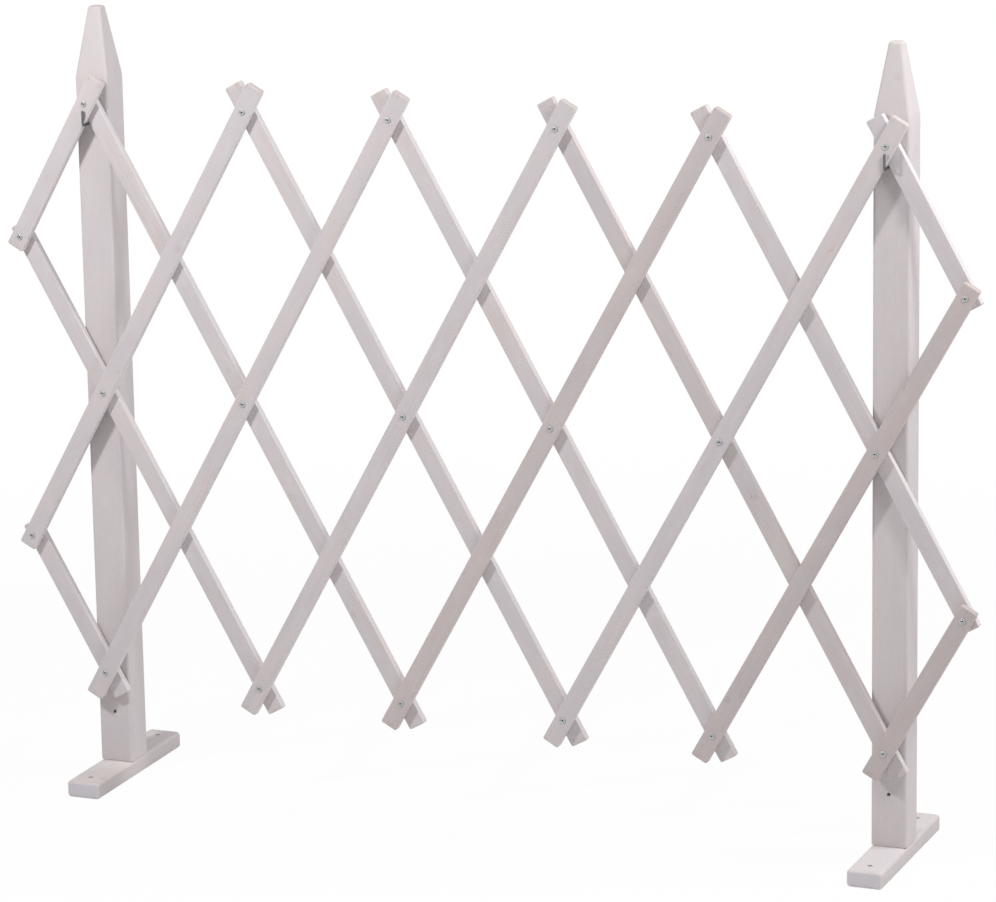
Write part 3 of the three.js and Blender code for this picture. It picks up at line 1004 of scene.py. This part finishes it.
def makeFoot(side, wood):
    low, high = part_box(f"{side}_foot")
    middle = (low + high) / 2
    length, width, thickness = foot["length"], foot["width"], high.z - low.z
    front, rear = middle.y - length / 2, middle.y + length / 2
    steps, roundEnd = foot["cornerSteps"], foot["endRound"]

    def ring(inset, depth):
        radius = foot["edgeRadius"] - inset
        outline = roundedSection(width - 2 * inset, thickness - 2 * inset, radius, steps)
        return [Vector((middle.x - u, depth, middle.z + v)) for u, v in outline]

    endSteps, lengthSteps = foot["endSteps"], foot["lengthSteps"]
    turns = [step / endSteps * math.pi / 2 for step in range(endSteps + 1)]
    ends = [(roundEnd * (1 - math.sin(turn)), roundEnd * (1 - math.cos(turn))) for turn in turns]
    rings = [ring(inset, front + back) for inset, back in ends]
    straight = length - 2 * roundEnd
    rings += [ring(0, front + roundEnd + straight * step / lengthSteps) for step in range(1, lengthSteps)]
    rings += [ring(inset, rear - back) for inset, back in reversed(ends)]
    piece = loft(f"{side}Foot", rings)
    past = foot["drillPast"]
    tools = []
    for depth in (front + foot["holeInset"], rear - foot["holeInset"]):
        base = (middle.x, depth, low.z - past)
        tools.append(drill(base, (middle.x, depth, high.z + past), foot["holeRadius"]))
    for offset in (-screw["spacing"] / 2, screw["spacing"] / 2):
        wide, narrow = foot["screwHeadRadius"], foot["screwHoleRadius"]
        levels = (low.z - past, low.z + foot["screwSink"], low.z + foot["screwHeadDepth"], high.z + past)
        for bottom, top, first, last in (
                (levels[0], levels[1], wide, wide), (levels[1], levels[2], wide, narrow),
                (levels[2] - foot["overlap"], levels[3], narrow, narrow)):
            spots = [(middle.x, middle.y + offset, level) for level in (bottom, top)]
            tools.append(drill(*spots, first, last))
    cut(piece, tools)
    shadeByAngle(piece.data)
    axes = (Vector((0, 1, 0)), Vector((1, 0, 0)), Vector((0, 0, 1)))
    half = Vector((length / 2, width / 2, thickness / 2))
    storeGrain(piece.data, middle, axes, lambda local: half, foot["seed"][side])
    piece.data.materials.append(wood)
    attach(piece, f"{side}_post")
    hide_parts(f"{side}_foot")


# Hooks: bent wire, out of the post and up in front of the laths
hook = {
    "radius": 0.0016,
    "bendRadius": 0.003,
    "bendSteps": 10,
    "rounds": 20,
    "ringSpacing": 0.0004,
    # The wire's ends are rounded over a share of its radius, by a share of its section
    "endShare": 0.7,
    "endDropShare": 0.85,
}
hookInputs = {
    "Inner": "Vector", "Corner": "Vector", "Top": "Vector", "Radius": "Float",
    "Bend Radius": "Float", "Rounds": "Int", "Steel": "Material",
}


def hookTree():
    tree, graph, given = newTree("hookTree", hookInputs)
    top = given["Top"]
    shank = graph.node("GeometryNodeCurvePrimitiveQuadrilateral", {"mode": "POINTS"}, {
        "Point 1": given["Inner"], "Point 2": given["Corner"], "Point 3": top, "Point 4": top})
    opened = graph.node("GeometryNodeSetSplineCyclic", {}, {0: shank, "Cyclic": False})
    last = graph.node("FunctionNodeCompare", {"data_type": "INT", "operation": "EQUAL"}, {
        2: graph.node("GeometryNodeInputIndex"), 3: 3})
    opened = graph.node("GeometryNodeDeleteGeometry", {"domain": "POINT"}, {0: opened, 1: last})
    bent = graph.node("GeometryNodeFilletCurve", {"mode": "POLY"}, {
        0: opened, "Radius": given["Bend Radius"], "Count": hook["bendSteps"], "Limit Radius": True})
    sockets = {"Curve": bent, "Length": hook["ringSpacing"]}
    fine = graph.node("GeometryNodeResampleCurve", {"mode": "LENGTH"}, sockets)
    travelled = graph.node("GeometryNodeSplineParameter", {}, {}, "Length")
    whole = graph.node("GeometryNodeSplineLength", {}, {}, "Length")
    endGap = travelled.least(whole - travelled)
    endReach = given["Radius"] * hook["endShare"]
    short = (endReach - endGap).most(0.0) / endReach
    swell = (1 - short * short * hook["endDropShare"]).maths("SQRT")
    fine = graph.node("GeometryNodeSetCurveRadius", {}, {0: fine, "Radius": swell})
    section = graph.node("GeometryNodeCurvePrimitiveCircle", {}, {
        "Resolution": given["Rounds"], "Radius": given["Radius"]})
    sockets = {0: fine, 1: section, "Fill Caps": True, "Scale": swell}
    wire = graph.node("GeometryNodeCurveToMesh", {}, sockets)
    endTree(graph, wire, given["Steel"])
    return tree


def makeHook(side, tree, steel):
    low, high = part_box(f"{side}_hook")
    radius = hook["radius"]
    middle, shankHeight, front = centre(f"{side}_hook").x, low.z + radius, low.y + radius
    piece = grow(f"{side}Hook", [(0, 0, 0)], tree, {
        "Inner": (middle, high.y, shankHeight),
        "Corner": (middle, front, shankHeight),
        "Top": (middle, front, high.z),
        "Radius": radius,
        "Bend Radius": hook["bendRadius"],
        "Rounds": hook["rounds"],
        "Steel": steel,
    })
    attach(piece, f"{side}_post")
    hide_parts(f"{side}_hook")


# Screws under the foot boards: countersunk head with a cross slot, and a thread
screw = {
    "spacing": 0.022,
    "headRadius": 0.004,
    "rootRadius": 0.0014,
    "shankRadius": 0.002,
    "headDepth": 0.003,
    "pitch": 0.0018,
    "slotWidth": 0.0011,
    "slotDepth": 0.0016,
    "slotReach": 0.0024,
    "pointRadius": 0.00015,
    "pointPitches": 2.6,
    "threadShare": 0.72,  # of the length below the head
    "threadSteps": 18,  # in one turn
    "threadSides": 3,
    "rounds": 28,
}
screwInputs = {
    "Length": "Float", "Head Radius": "Float", "Root Radius": "Float", "Shank Radius": "Float",
    "Head Depth": "Float", "Pitch": "Float", "Slot Width": "Float", "Slot Depth": "Float",
    "Slot Reach": "Float", "Steel": "Material",
}


def screwTree():
    tree, graph, given = newTree("screwTree", screwInputs)
    length, headDepth, root = given["Length"], given["Head Depth"], given["Root Radius"]

    def cone(bottom, top, low, high):
        made = graph.node("GeometryNodeMeshCone", {}, {
            "Vertices": screw["rounds"], "Radius Top": top, "Radius Bottom": bottom, "Depth": high - low})
        lifted = {0: made, "Translation": graph.vector(0.0, 0.0, low)}
        return graph.node("GeometryNodeTransform", {}, lifted)

    slots = []
    size = graph.vector(given["Slot Reach"] * 2.0, given["Slot Width"], given["Slot Depth"] * 2.0)
    for turn in (0.0, math.pi / 2):
        bar = graph.node("GeometryNodeMeshCube", {}, {0: size})
        slots.append(graph.node("GeometryNodeTransform", {}, {0: bar, "Rotation": (0, 0, turn)}))
    head = cone(given["Head Radius"], given["Shank Radius"], 0.0, headDepth)
    head = graph.node("GeometryNodeMeshBoolean", {"operation": "DIFFERENCE"}, {0: head, 1: slots})
    point = given["Pitch"] * screw["pointPitches"]
    shank = cone(root, root, headDepth, length - point)
    tip = cone(root, screw["pointRadius"], length - point, length)
    turns = (length - headDepth) / given["Pitch"] * screw["threadShare"]
    spiral = graph.node("GeometryNodeCurveSpiral", {}, {
        "Resolution": screw["threadSteps"], "Rotations": turns, "Start Radius": root, "End Radius": root,
        "Height": turns * given["Pitch"]})
    lift = graph.vector(0.0, 0.0, length - point - turns * given["Pitch"])
    spiral = graph.node("GeometryNodeTransform", {}, {0: spiral, "Translation": lift})
    crest = given["Shank Radius"] - root
    sockets = {"Resolution": screw["threadSides"], "Radius": crest}
    blade = graph.node("GeometryNodeCurvePrimitiveCircle", {}, sockets)
    thread = graph.node("GeometryNodeCurveToMesh", {}, {0: spiral, 1: blade, "Fill Caps": True})
    whole = graph.node("GeometryNodeJoinGeometry", {}, {0: [head, shank, tip, thread]})
    placed = graph.node("GeometryNodeInstanceOnPoints", {}, {0: given["Geometry"], "Instance": whole})
    endTree(graph, placed, given["Steel"])
    return tree


def makeScrews(side, tree, steel):
    names = [f"{side}_foot_screw_front", f"{side}_foot_screw_rear"]
    boxes = [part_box(name) for name in names]
    spots = [((low.x + high.x) / 2, (low.y + high.y) / 2, low.z) for low, high in boxes]
    piece = grow(f"{side}FootScrews", spots, tree, {
        "Length": boxes[0][1].z - boxes[0][0].z,
        "Head Radius": screw["headRadius"],
        "Root Radius": screw["rootRadius"],
        "Shank Radius": screw["shankRadius"],
        "Head Depth": screw["headDepth"],
        "Pitch": screw["pitch"],
        "Slot Width": screw["slotWidth"],
        "Slot Depth": screw["slotDepth"],
        "Slot Reach": screw["slotReach"],
        "Steel": steel,
    })
    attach(piece, f"{side}_post")
    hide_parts(*names)


makeCamera()
makeLight()
makeFloor()
print("camera, light and floor done")
lathWood = woodMaterial("lathWood", lathLook)
postWood = woodMaterial("postWood", postLook)
footWood = woodMaterial("footWood", footLook)
zincSteel = steelMaterial("zincSteel", steelLook)
hookSteel = steelMaterial("hookSteel", wireDarkReflectionLook)
makeLaths(lathWood)
makeRivets(zincSteel)
hookPath = hookTree()
screwShape = screwTree()
for side in ("left", "right"):
    makePost(side, postWood)
    makeFoot(side, footWood)
    makeHook(side, hookPath, hookSteel)
    makeScrews(side, screwShape, zincSteel)
print("posts, foot boards, hooks and screws done")
